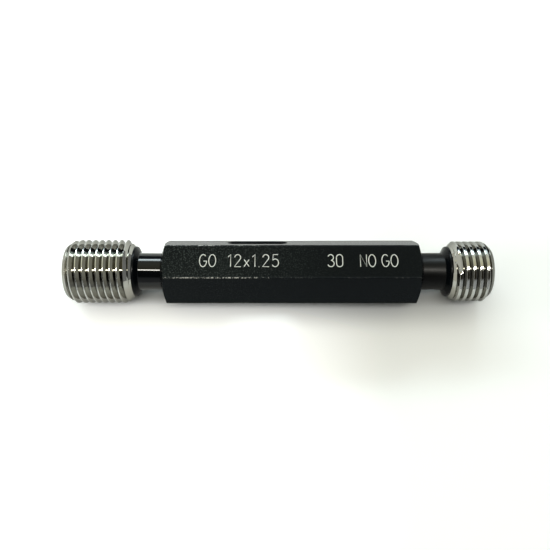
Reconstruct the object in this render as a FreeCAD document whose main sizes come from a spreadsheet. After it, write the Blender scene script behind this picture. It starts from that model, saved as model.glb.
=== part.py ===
import FreeCAD, Part
import os
import Sketcher
from FreeCAD import Placement, Rotation, Vector

# Double-ended thread plug gauge, lying on its side.
# X runs along the gauge, from the GO end at -X to the NO-GO end at +X, with the
# middle of the gauge at x = 0. Z is up, and z = 0 is the surface that the crests
# of the GO thread touch. Millimetres and degrees.
#
# Three pieces: a hexagonal handle, and two gauging members whose tapered shanks
# are wedged into the handle's sockets. A drift driven through the slot in the
# handle pushes them out.

os.makedirs("parts", exist_ok=True)
doc = FreeCAD.newDocument("thread_plug_gauge")

drivingDimensions = [
    ("pitch", 1.25, "thread pitch, M12 fine"),
    ("flank_angle", 30.0, "half of the thread angle"),
    ("go_major", 12.0, "GO crest diameter, full thread form"),
    ("go_face", 10.0, "diameter of the GO end face"),
    ("go_length", 12.45, "GO thread with its chamfers"),
    ("go_lead", 1.5, "axial length of the chamfer at the GO end face"),
    ("go_start", 0.53, "sets how far round the GO groove runs out at the collar"),
    ("nogo_major", 11.4, "NO-GO crest diameter, truncated thread form"),
    ("nogo_face", 9.4, "diameter of the NO-GO end face"),
    ("nogo_length", 7.55, "NO-GO thread with its chamfers"),
    ("nogo_lead", 1.15, "axial length of the chamfer at the NO-GO end face"),
    ("nogo_start", 0.44, "sets how far round the NO-GO groove runs out at the collar"),
    ("cutter_overrun", 0.05, "how far the groove's section stands outside the crest"),
    ("collar_diameter", 9.5, "collar behind each thread"),
    ("collar_rim", 0.15, "cylindrical edge of the collar"),
    ("collar_cone", 0.85, "cone from the collar down to the neck"),
    ("neck_diameter", 7.0, "neck, and mouth of the taper socket"),
    ("neck_length", 4.2, "neck between the collar's cone and the handle"),
    ("taper_per_side", 0.01, "1:50 taper on diameter"),
    ("shank_length", 13.3, "tapered shank inside the handle"),
    ("shank_chamfer", 0.4, "break on the shank's inner end"),
    ("centre_diameter", 2.1, "mouth of the 60 degree centre hole"),
    ("centre_pilot", 1.0, "pilot drill of the centre hole"),
    ("centre_depth", 2.2, "depth of the pilot drill"),
    ("across_flats", 11.0, "hexagonal handle"),
    ("handle_length", 48.7, "hexagonal handle"),
    ("edge_radius", 0.35, "rounding along the six long edges"),
    ("face_diameter", 7.5, "flat ring left on each end of the handle"),
    ("chamfer_length", 1.0, "axial length of the handle's conical end chamfers"),
    ("socket_depth", 13.8, "taper socket in each end of the handle"),
    ("bore_diameter", 4.5, "drilled hole that joins the sockets and the slot"),
    ("slot_length", 10.9, "drift slot, over its round ends"),
    ("slot_width", 3.0, "drift slot"),
    ("slot_offset", 6.4, "slot's middle from the handle's middle, towards GO"),
    ("slot_chamfer", 0.25, "break round each mouth of the slot"),
]

dims = doc.addObject("Spreadsheet::Sheet", "dims")
for row, (alias, value, note) in enumerate(drivingDimensions, start=1):
    dims.set("A%d" % row, alias)
    dims.set("B%d" % row, str(value))
    dims.set("C%d" % row, note)
    dims.setAlias("B%d" % row, alias)
doc.recompute()


def originPart(body, role):
    """Plane or axis of the body's own origin, such as XZ_Plane or X_Axis."""
    return next(f for f in body.Origin.OriginFeatures if f.Role == role)


def newSketch(body, name, planeRole):
    """Empty sketch on one of the body's origin planes."""
    sketch = body.newObject("Sketcher::SketchObject", name)
    sketch.AttachmentSupport = (originPart(body, planeRole), [""])
    sketch.MapMode = "FlatFace"
    return sketch


def bind(sketch, kind, expression, *elements):
    """Dimension in a sketch whose value is a sheet expression."""
    value = float(sketch.evalExpression(expression))
    index = sketch.addConstraint(Sketcher.Constraint(kind, *elements, value))
    sketch.setExpression("Constraints[%d]" % index, expression)


def closedOutline(sketch, corners):
    """Straight-sided outline whose corners are pairs of sheet expressions.

    A corner is held by its two distances from the origin, or lies on an axis
    where its expression is "0".
    """
    points = [Vector(*(float(sketch.evalExpression(e)) for e in corner), 0) for corner in corners]
    first = sketch.GeometryCount
    for start, end in zip(points, points[1:] + points[:1]):
        sketch.addGeometry(Part.LineSegment(start, end), False)
    for i, (across, up) in enumerate(corners):
        line = first + i
        before = first + (i - 1) % len(corners)
        sketch.addConstraint(Sketcher.Constraint("Coincident", before, 2, line, 1))
        for kind, expression, axis in (("DistanceX", across, -2), ("DistanceY", up, -1)):
            if expression == "0":
                sketch.addConstraint(Sketcher.Constraint("PointOnObject", line, 1, axis))
            else:
                bind(sketch, kind, expression, -1, 1, line, 1)


def roundSlot(sketch, middle, length, width):
    """Slot with round ends along the sketch's horizontal axis."""
    half = float(sketch.evalExpression("(%s - %s) / 2" % (length, width)))
    centre = float(sketch.evalExpression(middle))
    radius = float(sketch.evalExpression(width + " / 2"))
    up = Vector(0, radius, 0)
    near = Vector(centre - half, 0, 0)
    far = Vector(centre + half, 0, 0)
    leftEnd = Part.Arc(near + up, near - Vector(radius, 0, 0), near - up)
    rightEnd = Part.Arc(far - up, far + Vector(radius, 0, 0), far + up)
    left = sketch.addGeometry(leftEnd, False)
    bottom = sketch.addGeometry(Part.LineSegment(near - up, far - up), False)
    right = sketch.addGeometry(rightEnd, False)
    top = sketch.addGeometry(Part.LineSegment(far + up, near + up), False)
    sketch.addConstraint([
        Sketcher.Constraint("Tangent", left, 2, bottom, 1),
        Sketcher.Constraint("Tangent", bottom, 2, right, 1),
        Sketcher.Constraint("Tangent", right, 2, top, 1),
        Sketcher.Constraint("Tangent", top, 2, left, 1),
        Sketcher.Constraint("PointOnObject", left, 3, -1),
        Sketcher.Constraint("PointOnObject", right, 3, -1),
    ])
    bind(sketch, "Radius", width + " / 2", left)
    bind(sketch, "DistanceX", "%s - (%s - %s) / 2" % (middle, length, width), -1, 1, left, 3)
    bind(sketch, "DistanceX", "%s - %s" % (length, width), left, 3, right, 3)


def cut(body, kind, name, sketch, **settings):
    """Feature that has to take material off the body."""
    before = body.Tip.Shape.Volume
    feature = body.newObject(kind, name)
    feature.Profile = sketch
    for key, value in settings.items():
        if isinstance(value, str) and value.startswith("dims."):
            feature.setExpression(key, value)
        else:
            setattr(feature, key, value)
    doc.recompute()
    if not feature.Shape.Volume < before - 0.01:
        raise RuntimeError(name + " cuts nothing")
    return feature


def gaugingMember(label, gauge):
    """Thread plug member, turned from its end face at x = 0 towards its shank."""
    body = doc.addObject("PartDesign::Body", label)
    body.Label = label
    xAxis = (originPart(body, "X_Axis"), [""])
    crest = "dims.%s_major / 2" % gauge
    length = "dims.%s_length" % gauge
    collar = "dims.collar_diameter / 2"
    neckStart = length + " + dims.collar_rim + dims.collar_cone"
    mouth = neckStart + " + dims.neck_length"
    shankEnd = mouth + " + dims.shank_length"
    shankRadius = "dims.neck_diameter / 2 - dims.shank_length * dims.taper_per_side"

    profile = newSketch(body, label + "_profile", "XZ_Plane")
    closedOutline(profile, [
        ("dims.centre_depth", "0"),
        ("dims.centre_depth", "dims.centre_pilot / 2"),
        ("(dims.centre_diameter - dims.centre_pilot) / 2 / tan(30)", "dims.centre_pilot / 2"),
        ("0", "dims.centre_diameter / 2"),
        ("0", "dims.%s_face / 2" % gauge),
        ("dims.%s_lead" % gauge, crest),
        ("%s - (%s - %s)" % (length, crest, collar), crest),
        (length, collar),
        (length + " + dims.collar_rim", collar),
        (neckStart, "dims.neck_diameter / 2"),
        (mouth, "dims.neck_diameter / 2"),
        (shankEnd + " - dims.shank_chamfer", shankRadius),
        (shankEnd, shankRadius + " - dims.shank_chamfer"),
        (shankEnd, "0"),
    ])
    blank = body.newObject("PartDesign::Revolution", label + "_blank")
    blank.Profile = profile
    blank.ReferenceAxis = xAxis
    blank.Angle = 360.0
    doc.recompute()

    # The flanks run on to a sharp root, as ground gauges have it, at the same depth on
    # both members, and the full form leaves a crest of an eighth of the pitch. The
    # groove starts over a pitch before the end face and ends well past the thread, over
    # the collar, which is thinner than the root, so it runs out at both chamfers.
    root = "(dims.go_major / 2 - 7 / 16 * dims.pitch / tan(dims.flank_angle))"
    top = "(%s + dims.cutter_overrun)" % crest
    halfWidth = "(%s - %s) * tan(dims.flank_angle)" % (top, root)
    section = newSketch(body, label + "_groove_section", "XZ_Plane")
    section.setExpression(".AttachmentOffset.Base.x", "-dims.pitch - dims.%s_start" % gauge)
    closedOutline(section, [("0", root), (halfWidth, top), ("-" + halfWidth, top)])
    cut(body, "PartDesign::SubtractiveHelix", label + "_thread", section,
        ReferenceAxis=xAxis, Mode="pitch-height-angle",
        Pitch="dims.pitch", Height=length + " + 2 * dims.pitch")
    return body


def hexagonalHandle(label):
    """Hexagonal bar about its own middle, flat side up, with a socket at each end."""
    body = doc.addObject("PartDesign::Body", label)
    body.Label = label
    xAxis = (originPart(body, "X_Axis"), [""])
    corner = "(dims.across_flats / 2 / cos(30))"
    end = "dims.handle_length / 2"

    hexagon = newSketch(body, label + "_hexagon", "YZ_Plane")
    spoke = Vector(float(hexagon.evalExpression(corner)), 0, 0)
    points = [Rotation(Vector(0, 0, 1), 60 * i).multVec(spoke) for i in range(6)]
    ring = hexagon.addGeometry(Part.Circle(Vector(), Vector(0, 0, 1), spoke.x), True)
    sides = [hexagon.addGeometry(Part.LineSegment(a, b), False)
             for a, b in zip(points, points[1:] + points[:1])]
    for before, side in zip(sides[-1:] + sides[:-1], sides):
        hexagon.addConstraint(Sketcher.Constraint("Coincident", before, 2, side, 1))
        hexagon.addConstraint(Sketcher.Constraint("PointOnObject", side, 1, ring))
        if side != sides[0]:
            hexagon.addConstraint(Sketcher.Constraint("Equal", sides[0], side))
    hexagon.addConstraint(Sketcher.Constraint("Coincident", ring, 3, -1, 1))
    hexagon.addConstraint(Sketcher.Constraint("PointOnObject", sides[0], 1, -1))
    bind(hexagon, "Radius", corner, ring)
    bar = body.newObject("PartDesign::Pad", label + "_bar")
    bar.Profile = hexagon
    bar.SideType = "Symmetric"
    bar.setExpression("Length", "dims.handle_length")
    doc.recompute()

    rounding = body.newObject("PartDesign::Fillet", label + "_edges")
    longEdges = ["Edge%d" % number for number, edge in enumerate(bar.Shape.Edges, start=1)
                 if abs(edge.tangentAt(edge.FirstParameter).x) > 0.99]
    rounding.Base = (bar, longEdges)
    rounding.setExpression("Radius", "dims.edge_radius")
    doc.recompute()

    chamferProfile = newSketch(body, label + "_chamfer_profile", "XZ_Plane")
    closedOutline(chamferProfile, [
        (end, "dims.face_diameter / 2"),
        (end, corner),
        (end + " - dims.chamfer_length", corner),
    ])
    chamfer = cut(body, "PartDesign::Groove", label + "_end_chamfer", chamferProfile,
                  ReferenceAxis=xAxis, Angle=360.0)

    bottom = end + " - dims.socket_depth"
    socketProfile = newSketch(body, label + "_socket_profile", "XZ_Plane")
    closedOutline(socketProfile, [
        (bottom, "0"),
        (end, "0"),
        (end, "dims.neck_diameter / 2"),
        (bottom, "dims.neck_diameter / 2 - dims.socket_depth * dims.taper_per_side"),
    ])
    socket = cut(body, "PartDesign::Groove", label + "_socket", socketProfile,
                 ReferenceAxis=xAxis, Angle=360.0)

    otherEnd = body.newObject("PartDesign::Mirrored", label + "_other_end")
    otherEnd.Originals = [chamfer, socket]
    otherEnd.MirrorPlane = (originPart(body, "YZ_Plane"), [""])
    body.Tip = otherEnd
    doc.recompute()

    boreOutline = newSketch(body, label + "_bore_outline", "YZ_Plane")
    circle = boreOutline.addGeometry(Part.Circle(Vector(), Vector(0, 0, 1), 2), False)
    boreOutline.addConstraint(Sketcher.Constraint("Coincident", circle, 3, -1, 1))
    bind(boreOutline, "Diameter", "dims.bore_diameter", circle)
    cut(body, "PartDesign::Pocket", label + "_bore", boreOutline,
        SideType="Symmetric", Type="ThroughAll")

    # The slot goes through the pair of flats that lean 60 degrees from upright.
    slotOutline = newSketch(body, label + "_slot_outline", "XY_Plane")
    slotOutline.AttachmentOffset = Placement(Vector(), Rotation(Vector(1, 0, 0), -60))
    roundSlot(slotOutline, "-dims.slot_offset", "dims.slot_length", "dims.slot_width")
    slot = cut(body, "PartDesign::Pocket", label + "_slot", slotOutline,
               SideType="Symmetric", Type="ThroughAll")

    # Break the two mouths of the slot: the edges that lie in its pair of flats.
    outward = slotOutline.Placement.Rotation.multVec(Vector(0, 0, 1))
    reach = float(slotOutline.evalExpression("dims.across_flats / 2"))
    middle = float(slotOutline.evalExpression("dims.slot_offset"))
    mouthEdges = ["Edge%d" % number for number, edge in enumerate(slot.Shape.Edges, start=1)
                  if all(abs(abs(v.Point.dot(outward)) - reach) < 0.001 for v in edge.Vertexes)
                  and abs(edge.CenterOfMass.x + middle) < reach]
    mouths = body.newObject("PartDesign::Chamfer", label + "_slot_mouths")
    mouths.Base = (slot, mouthEdges)
    mouths.setExpression("Size", "dims.slot_chamfer")
    doc.recompute()
    return body


def lieAlong(body, start, turn):
    """Put a body's own axis on the gauge's axis, at the height of the GO crest."""
    body.setExpression(".Placement.Base.x", start)
    body.setExpression(".Placement.Base.z", "dims.go_major / 2")
    body.Placement.Rotation = Rotation(Vector(0, 0, 1), turn)


gaugeLength = " + ".join([
    "dims.go_length", "dims.nogo_length", "dims.handle_length",
    "2 * (dims.collar_rim + dims.collar_cone + dims.neck_length)",
])
handleMiddle = "(dims.go_length - dims.nogo_length) / 2"

goMember = gaugingMember("go_member", "go")
noGoMember = gaugingMember("no_go_member", "nogo")
handle = hexagonalHandle("handle")
lieAlong(goMember, "-(%s) / 2" % gaugeLength, 0)
lieAlong(noGoMember, "(%s) / 2" % gaugeLength, 180)
lieAlong(handle, handleMiddle, 0)
doc.recompute()

for item in doc.Objects:
    if "Invalid" in item.State or "Error" in item.State:
        raise RuntimeError("%s did not compute: %s" % (item.Label, item.State))

for body in (handle, goMember, noGoMember):
    shape = body.Shape
    if shape.isNull() or not shape.isValid() or len(shape.Solids) != 1:
        raise RuntimeError(body.Label + " is not one valid solid")
    shape.exportStep("parts/%s.step" % body.Label)
    box = shape.optimalBoundingBox()
    print("%-14s %8.1f mm3   x %7.2f to %6.2f   y %6.2f to %5.2f   z %5.2f to %5.2f" % (
        body.Label, shape.Volume, box.XMin, box.XMax, box.YMin, box.YMax, box.ZMin, box.ZMax))
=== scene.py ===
import math

import bmesh
import bpy
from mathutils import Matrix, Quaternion, Vector


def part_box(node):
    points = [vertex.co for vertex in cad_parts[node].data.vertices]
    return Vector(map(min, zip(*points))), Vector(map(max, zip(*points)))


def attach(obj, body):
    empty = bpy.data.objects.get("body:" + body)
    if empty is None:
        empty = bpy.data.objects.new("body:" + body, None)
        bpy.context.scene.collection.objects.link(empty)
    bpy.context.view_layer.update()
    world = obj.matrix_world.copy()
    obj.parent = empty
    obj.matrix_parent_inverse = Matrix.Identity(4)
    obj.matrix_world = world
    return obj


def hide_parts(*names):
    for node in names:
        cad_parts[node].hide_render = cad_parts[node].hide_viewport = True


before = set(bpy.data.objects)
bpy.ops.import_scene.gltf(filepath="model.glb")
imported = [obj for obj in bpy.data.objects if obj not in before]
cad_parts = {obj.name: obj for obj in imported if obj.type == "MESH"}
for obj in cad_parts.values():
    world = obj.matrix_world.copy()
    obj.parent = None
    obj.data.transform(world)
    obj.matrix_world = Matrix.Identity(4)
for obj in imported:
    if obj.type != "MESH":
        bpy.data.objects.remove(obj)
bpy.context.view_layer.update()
print("frame loaded")

mm = 0.001
scene = bpy.context.scene
scene.view_settings.view_transform = "Standard"

_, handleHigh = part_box("handle")
goLow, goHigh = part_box("go_member")
_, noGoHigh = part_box("no_go_member")
axisHeight = (goLow.z + goHigh.z) / 2   # the gauge's axis runs along X at this height
topFlat = handleHigh.z


def addObject(name, mesh):
    piece = bpy.data.objects.new(name, mesh)
    scene.collection.objects.link(piece)
    return piece


def meshFrom(name, points, faces, sharpAngle=35, joinWithin=1e-8):
    mesh = bpy.data.meshes.new(name)
    mesh.from_pydata(points, [], faces)
    shape = bmesh.new()
    shape.from_mesh(mesh)
    bmesh.ops.remove_doubles(shape, verts=shape.verts, dist=joinWithin)
    bmesh.ops.dissolve_degenerate(shape, edges=shape.edges, dist=joinWithin)
    bmesh.ops.recalc_face_normals(shape, faces=shape.faces)
    shape.to_mesh(mesh)
    shape.free()
    mesh.shade_smooth()
    mesh.set_sharp_from_angle(angle=math.radians(sharpAngle))
    return mesh


def aim(item, place, target):
    item.location = place
    item.rotation_mode = "QUATERNION"
    item.rotation_quaternion = (Vector(target) - Vector(place)).to_track_quat("-Z", "Y")


class NodeBook:
    # Short way to write a node tree: add a node, set its values, wire its inputs.
    def __init__(self, tree):
        self.tree = tree

    def add(self, kind, inputs=None, **settings):
        node = self.tree.nodes.new(kind)
        for key, value in settings.items():
            setattr(node, key, value)
        for key, value in (inputs or {}).items():
            if isinstance(value, bpy.types.NodeSocket):
                self.tree.links.new(value, node.inputs[key])
            else:
                node.inputs[key].default_value = value
        return node

    def place(self):
        return self.add("ShaderNodeTexCoord").outputs["Object"]

    def placeXyz(self):
        return self.add("ShaderNodeSeparateXYZ", {0: self.place()}).outputs

    def effect(self, group, inputs=None):
        return self.add("ShaderNodeGroup", inputs, node_tree=group).outputs

    def math(self, operation, first, second=0.0, third=0.0):
        node = self.add("ShaderNodeMath", {0: first, 1: second, 2: third}, operation=operation)
        return node.outputs[0]

    def noise(self, place, scale, detail, roughness=0.5):
        node = self.add("ShaderNodeTexNoise", {
            "Vector": place, "Scale": scale, "Detail": detail, "Roughness": roughness})
        return node.outputs["Fac"]

    def bump(self, height, strength, distance):
        node = self.add("ShaderNodeBump", {
            "Height": height, "Strength": strength, "Distance": distance})
        return node.outputs["Normal"]

    def ramp(self, factor, stops):
        node = self.add("ShaderNodeValToRGB", {"Fac": factor})
        ramp = node.color_ramp
        while len(ramp.elements) < len(stops):
            ramp.elements.new(0.5)
        for element, (position, colour) in zip(ramp.elements, stops):
            element.position = position
            element.color = (*colour, 1.0)
        return node.outputs["Color"]

    def between(self, value, low, high, toLow=0.0, toHigh=1.0, shape="SMOOTHSTEP"):
        node = self.add("ShaderNodeMapRange", {
            "Value": value, "From Min": low, "From Max": high, "To Min": toLow, "To Max": toHigh},
            interpolation_type=shape)
        return node.outputs["Result"]

    def blend(self, factor, first, second):
        node = self.add("ShaderNodeMix", data_type="RGBA")
        for index, value in ((0, factor), (6, first), (7, second)):   # factor and the two colours
            if isinstance(value, bpy.types.NodeSocket):
                self.tree.links.new(value, node.inputs[index])
            else:
                node.inputs[index].default_value = value if index == 0 else (*value, 1.0)
        return node.outputs[2]


def newGroup(name, inputs, outputs):
    tree = bpy.data.node_groups.new(name, "ShaderNodeTree")
    for socketName, kind, value in inputs:
        socket = tree.interface.new_socket(socketName, in_out="INPUT", socket_type=kind)
        socket.default_value = value
    for socketName, kind in outputs:
        tree.interface.new_socket(socketName, in_out="OUTPUT", socket_type=kind)
    book = NodeBook(tree)
    return tree, book, book.add("NodeGroupInput").outputs, book.add("NodeGroupOutput")


def closeGroup(tree, result, values):
    for name, value in values.items():
        tree.links.new(value, result.inputs[name])
    return tree


def newMaterial(name):
    material = bpy.data.materials.new(name)
    material.use_nodes = True
    book = NodeBook(material.node_tree)
    shader = next(n for n in material.node_tree.nodes if n.type == "BSDF_PRINCIPLED")
    return material, book, shader


def setShader(book, shader, values):
    for key, value in values.items():
        if isinstance(value, bpy.types.NodeSocket):
            book.tree.links.new(value, shader.inputs[key])
        elif isinstance(value, tuple):
            shader.inputs[key].default_value = (*value, 1.0)
        else:
            shader.inputs[key].default_value = value


view = {
    "middle": (-0.65 * mm, -0.65 * mm, 5.78 * mm),
    "elevation": 71,
    "distance": 115 * mm,
    "lens": 39.5,
    "sensorWidth": 36,
    "nearest": 10 * mm,
}


def addCamera(spec):
    camera = bpy.data.objects.new("camera", bpy.data.cameras.new("camera"))
    scene.collection.objects.link(camera)
    angle = math.radians(spec["elevation"])
    middle = Vector(spec["middle"])
    back = Vector((0, -math.cos(angle), math.sin(angle)))
    aim(camera, middle + back * spec["distance"], middle)
    camera.data.sensor_width = spec["sensorWidth"]
    camera.data.lens = spec["lens"]
    camera.data.clip_start = spec["nearest"]
    scene.camera = camera


addCamera(view)
print("camera placed")


# White paper in a dim room. Each pair of lengths is where a change begins and where it ends.
room = {
    "floorSize": 3.0,
    "floorColour": (0.90, 0.92, 0.95),
    "paperGrain": {"scale": 900.0, "detail": 2.0, "strength": 0.15, "depth": 0.02 * mm},
    "openGlow": (0.46, 0.05),            # lift of the open paper, to the left and to the right
    "openFade": (-4 * mm, 24 * mm),
    "nearGlow": (0.20, 0.00),            # the same close to the gauge
    "nearFade": (-30 * mm, 24 * mm),
    "nearToOpen": (4 * mm, 11 * mm),     # measured from the gauge's axis
    "farGlow": 0.50,                     # least lift of the paper far off
    "farFade": (80 * mm, 250 * mm),
    "mirrorShare": 0.25,                 # how much of the lift metal sees
    "underShadeColour": (0.44, 0.44, 0.43),    # painted shade: the paper right under the gauge, darkened where the light doesn't reach
    "underAside": (2.8 * mm, 5.6 * mm),
    "underAlong": (34 * mm, 40 * mm),
    "handShade": (0.66, 0.68, 0.70),     # painted shadow of a hand on the paper in front of the NO-GO end
    "handAlong": ((-6 * mm, 18 * mm), (30 * mm, 44 * mm)),   # where it comes and where it goes
    "handAcross": ((-12 * mm, -4 * mm), (0.0, 3 * mm)),
    "domeRadius": 1.45,
    "domeFoot": -0.02,                   # height at which the dome is cut off
    # Degrees over the top, from the back horizon at -90 to the front one at 90, and
    # what the room shows there.
    "sweep": [
        (-90, (0.020, 0.024, 0.028)),
        (-73, (0.020, 0.024, 0.028)),
        (-67, (1.200, 1.500, 1.600)),
        (-56, (1.500, 1.800, 1.800)),
        (-51, (1.000, 1.050, 0.960)),
        (-40, (0.860, 0.880, 0.740)),
        (-28, (1.020, 1.030, 0.800)),
        (-16, (0.900, 0.880, 0.630)),
        (-4, (0.820, 0.780, 0.540)),
        (13, (0.760, 0.710, 0.490)),
        (20, (0.030, 0.026, 0.018)),
        (52, (0.030, 0.026, 0.018)),
        (62, (0.460, 0.480, 0.480)),
        (90, (0.520, 0.540, 0.540)),
    ],
    "slant": 11,                         # degrees by which that leans per metre to the right
    "slantFrom": -30,                    # no lean behind this angle, and all of it from 0 on
    "sweepEdge": (0.52, 0.72),           # shares of the radius where the sides take over
    "sideColours": ((0.92, 0.94, 0.88), (0.40, 0.41, 0.40)),   # far left and far right
    "lowSides": ((0.85, 0.85, 0.76), (0.30, 0.31, 0.31)),      # the same near the horizon
    "leftToRight": (-0.3, 0.3),
    "lowBand": (0.24, 0.40),             # shares of the radius, from low side colours to high ones
}


def paperLift(book, place, under, spec):
    # Light added to the paper, so that the open sheet is white and the shadow stays.
    openLift = book.between(place["X"], *spec["openFade"], *spec["openGlow"])
    nearLift = book.between(place["X"], *spec["nearFade"], *spec["nearGlow"])
    away = book.between(book.math("ABSOLUTE", place["Y"]), *spec["nearToOpen"])
    lift = book.math("MULTIPLY_ADD", away, book.math("SUBTRACT", openLift, nearLift), nearLift)
    lift = book.math("MULTIPLY", lift, book.math("SUBTRACT", 1.0, under))
    reach = book.math("SQRT", book.math("MULTIPLY_ADD", place["X"], place["X"],
                                        book.math("MULTIPLY", place["Y"], place["Y"])))
    return book.math("MAXIMUM", lift, book.between(reach, *spec["farFade"], 0.0, spec["farGlow"]))


def addFloor(spec):
    half = spec["floorSize"] / 2
    corners = [(-half, -half, 0), (half, -half, 0), (half, half, 0), (-half, half, 0)]
    mesh = bpy.data.meshes.new("floor")
    mesh.from_pydata(corners, [], [(0, 1, 2, 3)])
    floor = addObject("floor", mesh)
    material, book, shader = newMaterial("whitePaper")
    grain = spec["paperGrain"]
    fibres = book.noise(book.place(), grain["scale"], grain["detail"])
    place = book.placeXyz()
    # Painted shade: a mask of the paper right under the gauge, which is darkened there and lifted
    # less.
    under = book.math(
        "MULTIPLY",
        book.between(book.math("ABSOLUTE", place["Y"]), *spec["underAside"], 1.0, 0.0),
        book.between(book.math("ABSOLUTE", place["X"]), *spec["underAlong"], 1.0, 0.0))
    lift = paperLift(book, place, under, spec)
    # Painted shadow of a hand: a mask in front of the NO-GO end where the paper is greyed.
    comes, goes = spec["handAlong"]
    shade = book.math("MULTIPLY", book.between(place["X"], *comes),
                      book.between(place["X"], *goes, 1.0, 0.0))
    comes, goes = spec["handAcross"]
    shade = book.math("MULTIPLY", shade, book.between(place["Y"], *comes))
    shade = book.math("MULTIPLY", shade, book.between(place["Y"], *goes, 1.0, 0.0))
    paper = book.blend(shade, spec["floorColour"], spec["handShade"])
    # Painted shade darkens the paper under the gauge.
    paper = book.blend(under, paper, spec["underShadeColour"])
    path = book.add("ShaderNodeLightPath").outputs
    mirrored = book.math("MULTIPLY", spec["mirrorShare"],
                         book.math("MAXIMUM", path["Is Glossy Ray"], path["Is Transmission Ray"]))
    seen = book.math("MULTIPLY", lift, book.math("MAXIMUM", path["Is Camera Ray"], mirrored))
    setShader(book, shader, {
        "Base Color": paper, "Roughness": 0.9, "Specular IOR Level": 0.1,
        "Emission Color": (1, 1, 1), "Emission Strength": seen,
        "Normal": book.bump(fibres, grain["strength"], grain["depth"])})
    mesh.materials.append(material)


def addDome(spec):
    radius = spec["domeRadius"]
    mesh = bpy.data.meshes.new("roomDome")
    shape = bmesh.new()
    bmesh.ops.create_uvsphere(shape, u_segments=64, v_segments=32, radius=radius)
    below = [v for v in shape.verts if v.co.z < spec["domeFoot"]]
    bmesh.ops.delete(shape, geom=below, context="VERTS")
    shape.to_mesh(mesh)
    shape.free()
    dome = addObject("roomDome", mesh)
    dome.visible_camera = False
    dome.visible_shadow = False

    material = bpy.data.materials.new("roomDome")
    material.use_nodes = True
    material.node_tree.nodes.clear()
    material.cycles.emission_sampling = "NONE"
    book = NodeBook(material.node_tree)
    place = book.placeXyz()
    leastHeight = 0.0001   # keeps the angle from turning over at the horizon
    angle = book.math("ARCTAN2", book.math("MULTIPLY", place["Y"], -1.0),
                      book.math("MAXIMUM", place["Z"], leastHeight))
    leaning = book.between(angle, math.radians(spec["slantFrom"]), 0.0,
                           0.0, math.radians(spec["slant"]))
    angle = book.math("MULTIPLY_ADD", place["X"], leaning, angle)
    overTheTop = book.between(angle, -math.pi / 2, math.pi / 2, shape="LINEAR")
    stops = [((degrees + 90) / 180, shown) for degrees, shown in spec["sweep"]]
    sweep = book.ramp(overTheTop, stops)
    aside = book.math("DIVIDE", book.math("ABSOLUTE", place["X"]), radius)
    beside = book.between(aside, *spec["sweepEdge"])
    rightward = book.between(place["X"], *spec["leftToRight"])
    lowEdge, highEdge = (share * radius for share in spec["lowBand"])
    low = book.between(place["Z"], lowEdge, highEdge, 1.0, 0.0)
    sides = book.blend(low, book.blend(rightward, *spec["sideColours"]),
                       book.blend(rightward, *spec["lowSides"]))
    colour = book.blend(beside, sweep, sides)
    glow = book.add("ShaderNodeEmission", {"Color": colour, "Strength": 1.0})
    book.add("ShaderNodeOutputMaterial", {"Surface": glow.outputs[0]})
    mesh.materials.append(material)


windowLamp = {"azimuth": -12, "elevation": 32, "distance": 0.8, "width": 0.84, "height": 0.10,
              "radiance": 12.5, "colour": (0.88, 0.98, 1.0)}
tubeLamp = {"lean": 10.4, "twist": 11, "distance": 1.25, "width": 1.00, "height": 0.13,
            "radiance": 11.5, "colour": (1.0, 0.98, 0.92)}
# The bright hearts of window and tube, which only show in what is polished.
windowHeart = {"azimuth": 0, "elevation": 36, "distance": 0.8, "width": 0.60, "height": 0.17,
               "radiance": 13.0, "colour": (0.82, 0.96, 1.0)}
tubeHeart = {"lean": 10.4, "twist": 11, "distance": 1.24, "width": 1.00, "height": 0.09,
             "radiance": 48.0, "colour": (1.0, 0.98, 0.90)}


def addPanelLamp(name, place, spec, lightsAll=True):
    lamp = bpy.data.lights.new(name, "AREA")
    lamp.shape = "RECTANGLE"
    lamp.size = spec["width"]
    lamp.size_y = spec["height"]
    lamp.color = spec["colour"]
    lamp.energy = spec["radiance"] * math.pi * spec["width"] * spec["height"]
    item = bpy.data.objects.new(name, lamp)
    scene.collection.objects.link(item)
    item.visible_camera = False
    item.visible_diffuse = lightsAll
    aim(item, place, (0, 0, axisHeight))
    turn = Quaternion((0, 0, 1), math.radians(spec.get("twist", 0)))
    item.rotation_quaternion = item.rotation_quaternion @ turn


def addLight():
    for name, spec in (("windowLamp", windowLamp), ("windowHeart", windowHeart)):
        azimuth, elevation = math.radians(spec["azimuth"]), math.radians(spec["elevation"])
        place = Vector((math.sin(azimuth) * math.cos(elevation),
                        math.cos(azimuth) * math.cos(elevation),
                        math.sin(elevation))) * spec["distance"]
        addPanelLamp(name, place, spec, lightsAll=spec is windowLamp)
    for name, spec in (("tubeLamp", tubeLamp), ("tubeHeart", tubeHeart)):
        lean = math.radians(spec["lean"])
        place = Vector((0, -math.sin(lean), math.cos(lean))) * spec["distance"]
        addPanelLamp(name, place, spec, lightsAll=spec is tubeLamp)
    world = bpy.data.worlds.new("white")
    world.use_nodes = True
    sky = world.node_tree.nodes["Background"].inputs
    sky["Color"].default_value = (1, 1, 1, 1)
    sky["Strength"].default_value = 1.0
    scene.world = world


addFloor(room)
addDome(room)
addLight()
print("floor, room and lamps placed")


def makeRoundTheAxis():
    # Cylinder coordinates about the gauge's axis: along, around and out from it.
    tree, book, _, result = newGroup("roundTheAxis", [], [
        ("Along", "NodeSocketFloat"), ("Around", "NodeSocketFloat"), ("Out", "NodeSocketFloat")])
    place = book.placeXyz()
    up = book.math("SUBTRACT", place["Z"], axisHeight)
    around = book.math("ARCTAN2", place["Y"], up)
    out = book.math("SQRT", book.math("ADD", book.math("MULTIPLY", up, up),
                                      book.math("MULTIPLY", place["Y"], place["Y"])))
    return closeGroup(tree, result, {"Along": place["X"], "Around": around, "Out": out})


grindPattern = {"streakDetail": 3.0, "streakRoughness": 0.6,
                "blotchScale": 420.0, "blotchDetail": 4.0, "blotchRoughness": 0.55}


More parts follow.
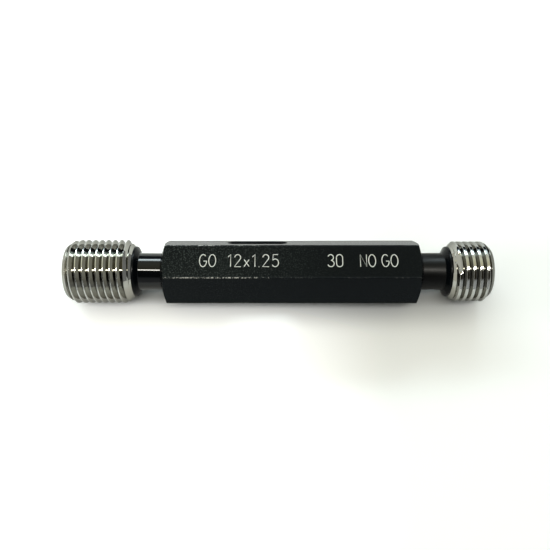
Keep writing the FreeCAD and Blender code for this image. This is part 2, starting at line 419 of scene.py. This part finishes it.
def makeGrindMarks(spec):
    # Fine rings left by the wheel: they change quickly along the axis, slowly round it.
    tree, book, given, result = newGroup("grindMarks", [
        ("Lines Per Millimetre", "NodeSocketFloat", 8.0),
        ("Breaks Round", "NodeSocketFloat", 2.5),
    ], [("Streak", "NodeSocketFloat"), ("Blotch", "NodeSocketFloat")])
    axis = book.effect(roundTheAxis)
    lines = book.math("MULTIPLY", given["Lines Per Millimetre"], 1 / mm)
    place = book.add("ShaderNodeCombineXYZ", {
        "X": book.math("MULTIPLY", axis["Along"], lines),
        "Y": book.math("MULTIPLY", axis["Around"], given["Breaks Round"]),
        "Z": book.math("MULTIPLY", axis["Out"], lines)}).outputs[0]
    return closeGroup(tree, result, {
        "Streak": book.noise(place, 1.0, spec["streakDetail"], spec["streakRoughness"]),
        "Blotch": book.noise(book.place(), spec["blotchScale"], spec["blotchDetail"],
                             spec["blotchRoughness"])})


grainPattern = {
    "detail": 3.0, "roughness": 0.65,
    "prickScale": 0.8,      # pin-pricks against the grain
    "prickLevel": 0.78,     # how rare they are when none are asked for
    "prickSpread": 1.2,     # how fast they come with their share
    "prickSoftness": 0.07,
    "cloudScale": 90.0,
}


def makeOxideGrain(spec):
    # Blackened steel close up: a fine matt grain with paler pin-pricks.
    tree, book, given, result = newGroup("oxideGrain", [
        ("Grain Size mm", "NodeSocketFloat", 0.28),
        ("Prick Share", "NodeSocketFloat", 0.1),
    ], [("Grain", "NodeSocketFloat"), ("Pricks", "NodeSocketFloat"), ("Cloud", "NodeSocketFloat")])
    place = book.place()
    scale = book.math("DIVIDE", 1 / mm, given["Grain Size mm"])
    spots = book.noise(place, book.math("MULTIPLY", scale, spec["prickScale"]), 1.0)
    edge = book.math("SUBTRACT", spec["prickLevel"],
                     book.math("MULTIPLY", given["Prick Share"], spec["prickSpread"]))
    return closeGroup(tree, result, {
        "Grain": book.noise(place, scale, spec["detail"], spec["roughness"]),
        "Pricks": book.between(spots, edge, book.math("ADD", edge, spec["prickSoftness"])),
        "Cloud": book.noise(place, spec["cloudScale"], 3.0)})


rubPattern = {
    "chipScale": 4300.0, "chipShare": 0.7,   # single chips
    "runScale": 130.0, "runShare": 0.5,      # and the longer runs they gather in
    "level": 0.86, "spread": 0.4,            # how rare they are, and how fast they come with Amount
    "softness": 0.06,
    "rounding": 0.06,                        # mm inside the rub where the corner starts to turn
}


def makeCornerRub(spec):
    # Bare metal where the corners stand furthest out, broken up along their length.
    tree, book, given, result = newGroup("cornerRub", [
        ("Starts At mm", "NodeSocketFloat", 6.2),
        ("Full At mm", "NodeSocketFloat", 6.3),
        ("Amount", "NodeSocketFloat", 0.5),
    ], [("Rub", "NodeSocketFloat"), ("Corner", "NodeSocketFloat")])
    out = book.math("MULTIPLY", book.effect(roundTheAxis)["Out"], 1 / mm)
    outermost = book.between(out, given["Starts At mm"], given["Full At mm"])
    place = book.place()
    chips = book.math("MULTIPLY", book.noise(place, spec["chipScale"], 1.0), spec["chipShare"])
    runs = book.math("MULTIPLY", book.noise(place, spec["runScale"], 2.0), spec["runShare"])
    edge = book.math("SUBTRACT", spec["level"],
                     book.math("MULTIPLY", given["Amount"], spec["spread"]))
    broken = book.between(book.math("ADD", chips, runs), edge,
                          book.math("ADD", edge, spec["softness"]))
    turning = book.math("SUBTRACT", given["Starts At mm"], spec["rounding"])
    return closeGroup(tree, result, {
        "Rub": book.math("MULTIPLY", outermost, broken),
        "Corner": book.between(out, turning, given["Starts At mm"])})


def makeSlotInside(softness=0.08):
    # Mask of the walls of the slot through the handle, below the break round its mouths, which get
    # painted shade.
    tree, book, given, result = newGroup("slotInside", [
        ("Half Width mm", "NodeSocketFloat", 1.66),
        ("Half Depth mm", "NodeSocketFloat", 5.42),
        ("Lean", "NodeSocketFloat", math.radians(60)),
    ], [("Inside", "NodeSocketFloat")])
    place = book.placeXyz()
    up = book.math("MULTIPLY", book.math("SUBTRACT", place["Z"], axisHeight), 1 / mm)
    back = book.math("MULTIPLY", place["Y"], 1 / mm)
    sine, cosine = book.math("SINE", given["Lean"]), book.math("COSINE", given["Lean"])
    deep = book.math("MULTIPLY_ADD", back, sine, book.math("MULTIPLY", up, cosine))
    aside = book.math("SUBTRACT", book.math("MULTIPLY", back, cosine),
                      book.math("MULTIPLY", up, sine))
    within = [book.between(book.math("ABSOLUTE", reach), limit,
                           book.math("ADD", limit, softness), 1.0, 0.0, shape="LINEAR")
              for reach, limit in ((deep, given["Half Depth mm"]), (aside, given["Half Width mm"]))]
    return closeGroup(tree, result, {"Inside": book.math("MULTIPLY", *within)})


roundTheAxis = makeRoundTheAxis()
grindMarks = makeGrindMarks(grindPattern)
oxideGrain = makeOxideGrain(grainPattern)
cornerRub = makeCornerRub(rubPattern)
slotInside = makeSlotInside()


handleFinish = {
    "black": (0.0021, 0.0027, 0.0036),
    "paler": (0.0095, 0.0120, 0.0118),
    "prick": (0.034, 0.040, 0.038),
    "bareSteel": (0.34, 0.34, 0.32),
    "slotShadeBlack": (0.0003, 0.0003, 0.0004),   # painted shade on the walls of the slot
    "mirrorTint": (0.76, 0.90, 1.0),         # what light it mirrors turns to
    "specular": 0.073,
    "roughness": (0.12, 0.30),               # the grain's hollows and tops
    "cornerRoughness": 0.62,
    "slotRoughness": 0.95,
    "grain": {"Grain Size mm": 0.15, "Prick Share": 0.17},
    "rub": {"Starts At mm": 6.266, "Full At mm": 6.290, "Amount": 0.60},
    "belowTop": 0.25,                        # share of the grain's contrast off the top flat
    "topEdge": (0.4 * mm, 0.05 * mm),        # depths between which that changes
    # The grain's paler clouds and pricks, and the bare rubbed corners, are strongest by the GO end
    # and fade towards the NO-GO end. Each line is where that changes along the handle, and how much
    # shows at both places.
    "grainFade": (14 * mm, -14 * mm, 0.10, 1.0),
    "rubFade": (6 * mm, -9 * mm, 0.10, 0.9),
    "grainDepth": 0.008 * mm,
}


def makeHandleBlack(spec):
    material, book, shader = newMaterial("handleBlack")
    grain = book.effect(oxideGrain, spec["grain"])
    worn = book.effect(cornerRub, spec["rub"])
    along = book.effect(roundTheAxis)["Along"]
    height = book.placeXyz()["Z"]
    topBegins, topFull = (topFlat - depth for depth in spec["topEdge"])
    onTop = book.between(height, topBegins, topFull, spec["belowTop"], 1.0)
    grainShown = book.math("MULTIPLY", onTop, book.between(along, *spec["grainFade"]))
    cloudy = book.blend(book.math("MULTIPLY", grain["Cloud"], grainShown), spec["black"], spec["paler"])
    speckled = book.blend(book.math("MULTIPLY", grain["Pricks"], grainShown), cloudy, spec["prick"])
    rub = book.math("MULTIPLY", worn["Rub"], book.between(along, *spec["rubFade"]))
    colour = book.blend(rub, speckled, spec["bareSteel"])
    rough = book.between(grain["Grain"], 0.25, 0.75, *spec["roughness"])
    rough = book.math("MAXIMUM", rough,
                      book.math("MULTIPLY", worn["Corner"], spec["cornerRoughness"]))
    # Painted shade: the slot's walls are made blacker and fully rough, so they show no reflection.
    inside = book.effect(slotInside)["Inside"]
    colour = book.blend(inside, colour, spec["slotShadeBlack"])
    rough = book.math("MAXIMUM", rough, book.math("MULTIPLY", inside, spec["slotRoughness"]))
    setShader(book, shader, {
        "Base Color": colour, "Metallic": rub, "Roughness": rough,
        "Specular IOR Level": spec["specular"], "Specular Tint": spec["mirrorTint"],
        "Normal": book.bump(grain["Grain"], 0.30, spec["grainDepth"])})
    return material


steelFinish = {
    "light": (0.64, 0.65, 0.64),
    "dark": (0.48, 0.48, 0.45),
    "groove": (0.39, 0.385, 0.355),  # painted shade: the flanks and bottoms are made greyer than the crests
    "crestBand": (0.03, 0.10),       # mm below the crest where the painted shade begins and is full
    # Painted shade: the NO-GO end, where less light falls, is darker, its thread a little and then
    # its chamfer more.
    "noGoThread": {"inward": (6.5 * mm, 6.2 * mm), "share": 0.20, "colour": (0.02, 0.02, 0.012)},
    "noGoEnd": {"inward": (1.3 * mm, 0.9 * mm), "share": 0.35, "colour": (0.02, 0.02, 0.02)},
    "roughness": (0.072, 0.05),      # crests and grooves
    "wear": (0.7, 1.6),              # what blotches make of that
    "anisotropy": 0.5,
    "marks": {"Lines Per Millimetre": 9.0, "Breaks Round": 1.6},
    "marksDepth": 0.006 * mm,
    # What the cutter left on the chamfer of the GO end.
    "cutterMarks": {"Lines Per Millimetre": 2.2, "Breaks Round": 30.0},
    "leadTo": (1.15 * mm, 1.45 * mm),   # inward from the GO end's face, where those end
    "chatter": 12.0,                 # their strength
    "chatterRoughness": 0.014,
    "edgeTint": (0.50, 0.50, 0.50),  # what the steel keeps of light that only grazes it
}


def makeGroundSteel(spec, crests):
    material, book, shader = newMaterial("groundSteel")
    marks = book.effect(grindMarks, spec["marks"])
    tone = book.between(marks["Streak"], 0.3, 0.7)
    axis = book.effect(roundTheAxis)
    # One member's crest gives way to the other's at mid-length, inside the handle.
    crest = book.between(axis["Along"], -mm, mm, *(radius * mm for radius in crests))
    # Painted shade in the grooves: below the crest band the steel turns to the greyer groove
    # colour.
    bandBegins, bandFull = (depth * mm for depth in spec["crestBand"])
    deep = book.between(book.math("SUBTRACT", crest, axis["Out"]), bandBegins, bandFull)
    colour = book.blend(deep, book.blend(tone, spec["dark"], spec["light"]), spec["groove"])
    # Painted shade that darkens the NO-GO thread and, more, its chamfer.
    for darker in (spec["noGoThread"], spec["noGoEnd"]):
        begins, full = (noGoHigh.x - inward for inward in darker["inward"])
        share = book.between(axis["Along"], begins, full, 0.0, darker["share"])
        colour = book.blend(share, colour, darker["colour"])
    wear = book.between(marks["Blotch"], 0.3, 0.75, *spec["wear"])
    rough = book.math("MULTIPLY", wear, book.between(deep, 0.0, 1.0, *spec["roughness"]))
    chatter = book.effect(grindMarks, spec["cutterMarks"])["Streak"]
    fades, gone = (goLow.x + inward for inward in spec["leadTo"])
    onLead = book.between(axis["Along"], fades, gone, spec["chatter"], 0.0)
    height = book.math("MULTIPLY_ADD", chatter, onLead, marks["Streak"])
    rough = book.math("MULTIPLY_ADD", onLead, spec["chatterRoughness"], rough)
    tangent = book.add("ShaderNodeTangent", direction_type="RADIAL", axis="X")
    setShader(book, shader, {
        "Base Color": colour, "Metallic": 1.0, "Roughness": rough,
        "Specular Tint": spec["edgeTint"],
        "Anisotropic": spec["anisotropy"], "Anisotropic Rotation": 0.0,
        "Tangent": tangent.outputs[0],
        "Normal": book.bump(height, 0.12, spec["marksDepth"])})
    return material


neckFinish = {
    "glossy": {"colour": (0.0010, 0.0015, 0.0022), "paler": (0.002, 0.003, 0.004),
               "roughness": 0.045, "specular": 0.28, "streakHeight": 0.06},
    "collar": {"colour": (0.0010, 0.0015, 0.0022), "paler": (0.002, 0.003, 0.004),
               "roughness": 0.25, "specular": 0.07, "streakHeight": 0.3},
    "matt": {"colour": (0.0015, 0.0016, 0.0018), "paler": (0.004, 0.004, 0.0045),
             "roughness": 0.36, "specular": 0.09, "streakHeight": 0.5},
    "marks": {"Lines Per Millimetre": 6.0, "Breaks Round": 1.2},
    "grain": {"Grain Size mm": 0.22, "Prick Share": 0.07},
    "cloudiness": (0.85, 1.25),      # what the grain's clouds make of the roughness
    "streakDepth": 0.004 * mm,
}


def makeNeckBlack(name, spec, shared):
    material, book, shader = newMaterial(name)
    marks = book.effect(grindMarks, shared["marks"])
    grain = book.effect(oxideGrain, shared["grain"])
    smooth, coarse = (spec["roughness"] * share for share in shared["cloudiness"])
    setShader(book, shader, {
        "Base Color": book.blend(marks["Streak"], spec["colour"], spec["paler"]),
        "Roughness": book.between(grain["Cloud"], 0.3, 0.7, smooth, coarse),
        "Specular IOR Level": spec["specular"],
        "Normal": book.bump(marks["Streak"], spec["streakHeight"], shared["streakDepth"])})
    return material


markFinish = {
    "white": (0.66, 0.68, 0.65), "thin": (0.20, 0.21, 0.19), "roughness": 0.6,
    "grain": {"Grain Size mm": 0.18, "Prick Share": 0.3},
    "thinIn": (0.30, 0.45),          # how low the grain lies where the paint is thin
    "grainDepth": 0.01 * mm,
}


def makeMarkWhite(spec):
    material, book, shader = newMaterial("markingWhite")
    grain = book.effect(oxideGrain, spec["grain"])
    thin = book.between(grain["Grain"], *spec["thinIn"], 1.0, 0.0)
    setShader(book, shader, {
        "Base Color": book.blend(thin, spec["white"], spec["thin"]),
        "Roughness": spec["roughness"],
        "Normal": book.bump(grain["Grain"], 0.4, spec["grainDepth"])})
    return material


# Sizes of the gauging members in millimetres. These three set the thread.
pitch, flankAngle, goCrest = 1.25, 30, 6.0
threadForm = {
    "pitch": pitch,
    "flankAngle": flankAngle,
    "rootRadius": goCrest - 7 / 16 * pitch / math.tan(math.radians(flankAngle)),
    "edgeBreak": 0.034,       # tiny round along each crest edge
    "rounding": ((0.35, 0.10), (0.0, 0.38)),   # its points, outward and down, in edge breaks
    "holdingLoop": 0.6,       # edge breaks below that, where the flank is flat again
    "flankSteps": 3,
    "crestSteps": 4,
    "sides": 192,
}
goForm = {
    "name": "goThread", "neckName": "goNeck", "node": "go_member",
    "end": goLow.x, "way": 1,   # where the end face lies, and which way the member runs
    # Radii of crest and end face, threaded length, lead chamfer, and the groove's offset.
    "crestRadius": goCrest, "faceRadius": 5.0, "length": 12.45, "lead": 1.5, "start": 0.53,
    "flat": None,
}
noGoForm = {
    "name": "noGoThread", "neckName": "noGoNeck", "node": "no_go_member",
    "end": noGoHigh.x, "way": -1,
    "crestRadius": 5.7, "faceRadius": 4.7, "length": 7.55, "lead": 1.15, "start": 0.44,
    # The unfinished end of the thread by the collar is ground to a flat that narrows
    # towards the viewer: where it lies in degrees from upright, and how it falls.
    "flat": {"back": -16, "front": 24, "at": 6.36, "fall": 32, "width": 1.15, "step": 0.10},
}
neckForm = {
    "collarRadius": 4.75, "collarRim": 0.40, "collarCone": 0.60,
    "collarFace": 0.3,          # width of face that the soft corner at the rim starts from
    "neckRadius": 3.5, "neckLength": 4.2,
    "shankShown": 2.0, "shankTaper": 0.02,   # the stretch that runs into the socket
    "edgeBreak": 0.12, "sides": 128,
}
centreHole = {"mouth": 1.05, "pilot": 0.5, "depth": 2.2, "halfAngle": 30}


def blankRadius(form, along, lean):
    # Outside of the member before its thread, at a distance along from its end face:
    # lead chamfer, crest, back chamfer and ground flat.
    lead = form["faceRadius"] + (form["crestRadius"] - form["faceRadius"]) * along / form["lead"]
    back = neckForm["collarRadius"] + form["length"] - along
    outside = min(lead, form["crestRadius"], back)
    flat = form["flat"]
    if not flat or not flat["back"] < lean < flat["front"]:
        return outside
    spread = flat["front"] - flat["back"]
    if along > form["length"] - flat["width"] * (lean - flat["back"]) / spread:
        return outside - flat["step"]
    chord = form["crestRadius"] * math.cos(math.radians(spread / 2))
    fall = (along - flat["at"]) * math.tan(math.radians(flat["fall"]))
    across = math.cos(math.radians(lean - (flat["front"] + flat["back"]) / 2))
    return min(outside, (chord - fall) / across)


def grooveEdge(form, middle, side, lean, halvings=40):
    # Where the groove's flank comes out through the blank, on one side of its middle.
    slope = 1 / math.tan(math.radians(threadForm["flankAngle"]))
    near, far = 0.0, threadForm["pitch"] / 2
    if threadForm["rootRadius"] >= blankRadius(form, middle, lean):
        return 0.0
    for _ in range(halvings):
        half = (near + far) / 2
        flank = threadForm["rootRadius"] + slope * half
        inside = flank < blankRadius(form, middle + side * half, lean)
        near, far = (half, far) if inside else (near, half)
    return near


def threadRow(form, middle, lean):
    # One groove with half a crest on each side of it, as (along, radius) pairs.
    slope = 1 / math.tan(math.radians(threadForm["flankAngle"]))
    root, halfPitch = threadForm["rootRadius"], threadForm["pitch"] / 2
    crestSteps, flankSteps = threadForm["crestSteps"], threadForm["flankSteps"]
    row = []
    for side in (-1, 1):
        edge = grooveEdge(form, middle, side, lean)
        soft = min(threadForm["edgeBreak"], edge / 3, (halfPitch - edge) / 3)
        reach = [halfPitch - (halfPitch - edge - soft) * i / crestSteps
                 for i in range(crestSteps + 1)]
        half = [(middle + side * r, None) for r in reach]   # no radius yet: on the blank
        rim = root + slope * edge
        for outward, down in threadForm["rounding"]:
            half.append((middle + side * (edge + soft * outward), rim - soft * down))
        flankTop = edge - soft / 2
        half.append((middle + side * flankTop, root + slope * flankTop))
        for i in range(flankSteps):
            r = (flankTop - soft * threadForm["holdingLoop"]) * (1 - i / flankSteps)
            half.append((middle + side * r, root + slope * r))
        row += half if side < 0 else [(middle, root)] + half[::-1]
    held = []
    for along, radius in row:
        inside = min(max(along, 0.0), form["length"])
        outer = blankRadius(form, inside, lean)
        if radius is None:
            radius = outer
        elif inside != along:
            radius = root + slope * abs(inside - middle)
        held.append((inside, min(radius, outer)))
    return held


def threadRows(form):
    rows = []
    for i in range(threadForm["sides"]):
        turn = i / threadForm["sides"]
        lean = form["way"] * (360 * turn - (360 if turn > 0.5 else 0))
        row = []
        for k in range(-1, math.ceil(form["length"] / threadForm["pitch"]) + 2):
            row += threadRow(form, (turn + k) * threadForm["pitch"] - form["start"], lean)
        rows.append(row)
    return rows


def placeAround(form, along, radius, turn):
    angle = 2 * math.pi * turn
    return (form["end"] + form["way"] * along * mm,
            -form["way"] * math.sin(angle) * radius * mm,
            axisHeight + math.cos(angle) * radius * mm)


def addThread(form, steel):
    rows = threadRows(form)
    sides = threadForm["sides"]
    perGroove = len(threadRow(form, form["length"] / 2, 0))
    points, faces = [], []
    mouth, pilot, depth = centreHole["mouth"], centreHole["pilot"], centreHole["depth"]
    foot = (mouth - pilot) / math.tan(math.radians(centreHole["halfAngle"]))
    inner = [(depth, 0.0), (depth, pilot), (foot, pilot), (0.0, mouth)]
    closing = [(form["length"], neckForm["collarRadius"]), (form["length"], 0.0)]
    rowLength = len(inner) + len(rows[0]) + len(closing)
    for i, row in enumerate(rows):
        points += [placeAround(form, along, r, i / sides) for along, r in inner + row + closing]
    starts = len(inner)
    last = len(rows[0])
    for i in range(sides):
        here, beside = i * rowLength, (i + 1) % sides * rowLength
        wrap = perGroove if i == sides - 1 else 0
        for j in range(starts - 1):
            faces.append((here + j, here + j + 1, beside + j + 1, beside + j))
        for j in range(last - 1 - wrap):   # the last row meets the first one groove further on
            faces.append((here + starts + j, here + starts + j + 1,
                          beside + starts + j + wrap + 1, beside + starts + j + wrap))
        faces.append((here + starts - 1, here + starts, beside + starts, beside + starts - 1))
        end = starts + last - 1
        faces.append((here + end, here + end + 1, beside + end + 1, beside + end))
        faces.append((here + end + 1, here + end + 2, beside + end + 2, beside + end + 1))
    piece = addObject(form["name"], meshFrom(form["name"], points, faces))
    piece.data.materials.append(steel)
    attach(piece, "root")
    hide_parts(form["node"])


def softened(corners, size):
    # Each inner corner of an open outline becomes three points close to it.
    line = [corners[0]]
    for before, corner, after in zip(corners, corners[1:], corners[2:]):
        here = Vector(corner)
        back, on = Vector(before) - here, Vector(after) - here
        step = min(size, back.length / 3, on.length / 3)
        first, second = here + back.normalized() * step, here + on.normalized() * step
        line += [tuple(first), tuple((first + second + here * 2) / 4), tuple(second)]
    return line + [corners[-1]]


def addNeck(form, neck, collar):
    start, radius = form["length"], neckForm["collarRadius"]
    cone = start + neckForm["collarRim"] + neckForm["collarCone"]
    end = cone + neckForm["neckLength"] + neckForm["shankShown"]
    outline = softened([
        (start, radius - neckForm["collarFace"]), (start, radius),
        (start + neckForm["collarRim"], radius),
        (cone, neckForm["neckRadius"]), (end, neckForm["neckRadius"] - neckForm["shankTaper"]),
    ], neckForm["edgeBreak"])
    outline = [(start, 0.0)] + outline + [(end, 0.0)]
    sides = neckForm["sides"]
    points = [placeAround(form, along, r, i / sides) for i in range(sides) for along, r in outline]
    faces = []
    for i in range(sides):
        here, beside = i * len(outline), (i + 1) % sides * len(outline)
        faces += [(here + j, here + j + 1, beside + j + 1, beside + j)
                  for j in range(len(outline) - 1)]
    piece = addObject(form["neckName"], meshFrom(form["neckName"], points, faces))
    piece.data.materials.append(neck)
    piece.data.materials.append(collar)
    footOfCone = (cone - neckForm["edgeBreak"] / 6) * mm
    for face in piece.data.polygons:
        if form["way"] * (face.center.x - form["end"]) < footOfCone:
            face.material_index = 1
    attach(piece, "root")
    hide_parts(form["node"])


handleBlack = makeHandleBlack(handleFinish)
groundSteel = makeGroundSteel(steelFinish, (goForm["crestRadius"], noGoForm["crestRadius"]))
neckGlossy = makeNeckBlack("neckGlossy", neckFinish["glossy"], neckFinish)
neckMatt = makeNeckBlack("neckMatt", neckFinish["matt"], neckFinish)
collarBlack = makeNeckBlack("collarBlack", neckFinish["collar"], neckFinish)
markWhite = makeMarkWhite(markFinish)
print("materials made")

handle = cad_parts["handle"]
handle.data.materials.clear()
handle.data.materials.append(handleBlack)

for form, neck in ((goForm, neckGlossy), (noGoForm, neckMatt)):
    addThread(form, groundSteel)
    addNeck(form, neck, collarBlack)
print("gauging members made")


# Markings on the top flat, in millimetres.
marking = {
    "height": 2.35, "stroke": 0.15, "proud": 0.012,
    "middle": 0.15,   # how far the line of text sits behind the axis
    # Text, where it starts, and the space between its letters.
    "words": [("GO", -14.4, 0.42), ("12x1.25", -9.2, 0.60),
              ("30", 9.0, 0.42), ("NO GO", 14.9, 0.38)],
}


def arc(across, up, halfWidth, halfHeight, start, end, steps=14):
    # Stretch of an ellipse round the point (across, up), between two angles in degrees.
    angles = [math.radians(start + (end - start) * i / steps) for i in range(steps + 1)]
    return [(across + halfWidth * math.cos(a), up + halfHeight * math.sin(a)) for a in angles]


# Single-stroke characters: width, then strokes, on a height of 1.
strokes = {
    "0": (0.48, [arc(0.24, 0.74, 0.24, 0.26, 0, 180) + arc(0.24, 0.26, 0.24, 0.26, 180, 360)
                 + [(0.48, 0.74)]]),
    "1": (0.24, [[(0.0, 0.80), (0.20, 1.0), (0.20, 0.0)]]),
    "2": (0.50, [arc(0.25, 0.75, 0.23, 0.25, 175, -28) + [(0.0, 0.0), (0.50, 0.0)]]),
    "3": (0.48, [arc(0.22, 0.76, 0.21, 0.24, 160, -90)
                 + arc(0.22, 0.26, 0.25, 0.26, 90, -160)]),
    "5": (0.48, [[(0.44, 1.0), (0.07, 1.0), (0.03, 0.54)]
                 + arc(0.22, 0.32, 0.26, 0.32, 130, -150)]),
    "x": (0.38, [[(0.0, 0.02), (0.38, 0.58)], [(0.0, 0.58), (0.38, 0.02)]]),
    ".": (0.04, [[(0.0, 0.0), (0.04, 0.0)]]),
    "G": (0.54, [arc(0.28, 0.5, 0.28, 0.5, 48, 345, 22) + [(0.55, 0.46), (0.32, 0.46)]]),
    "O": (0.54, [arc(0.27, 0.5, 0.27, 0.5, 90, 450, 26)]),
    "N": (0.48, [[(0.0, 0.0), (0.0, 1.0), (0.48, 0.0), (0.48, 1.0)]]),
    " ": (0.16, []),
}


def addMarkings(spec, paint):
    curve = bpy.data.curves.new("markings", "CURVE")
    curve.dimensions = "3D"
    curve.bevel_depth = spec["stroke"] / 2 * mm
    curve.bevel_resolution = 2
    curve.use_fill_caps = True
    for word, start, gap in spec["words"]:
        pen = start
        for letter in word:
            width, lines = strokes[letter]
            for line in lines:
                spline = curve.splines.new("POLY")
                spline.points.add(len(line) - 1)
                for point, (across, up) in zip(spline.points, line):
                    point.co = ((pen + across * spec["height"]) * mm,
                                (spec["middle"] + (up - 0.5) * spec["height"]) * mm, 0, 1)
            pen += width * spec["height"] + gap
    drawn = bpy.data.objects.new("markingStrokes", curve)
    scene.collection.objects.link(drawn)
    bpy.context.view_layer.update()
    drawnSolid = drawn.evaluated_get(bpy.context.evaluated_depsgraph_get())
    mesh = bpy.data.meshes.new_from_object(drawnSolid)
    bpy.data.objects.remove(drawn)
    for vertex in mesh.vertices:   # flattened to a film of paint that stands just proud
        vertex.co.z = topFlat + vertex.co.z / curve.bevel_depth * spec["proud"] * mm
    mesh.name = "markings"
    mesh.materials.clear()
    mesh.materials.append(paint)
    piece = addObject("markings", mesh)
    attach(piece, "root")


addMarkings(marking, markWhite)
print("markings made")
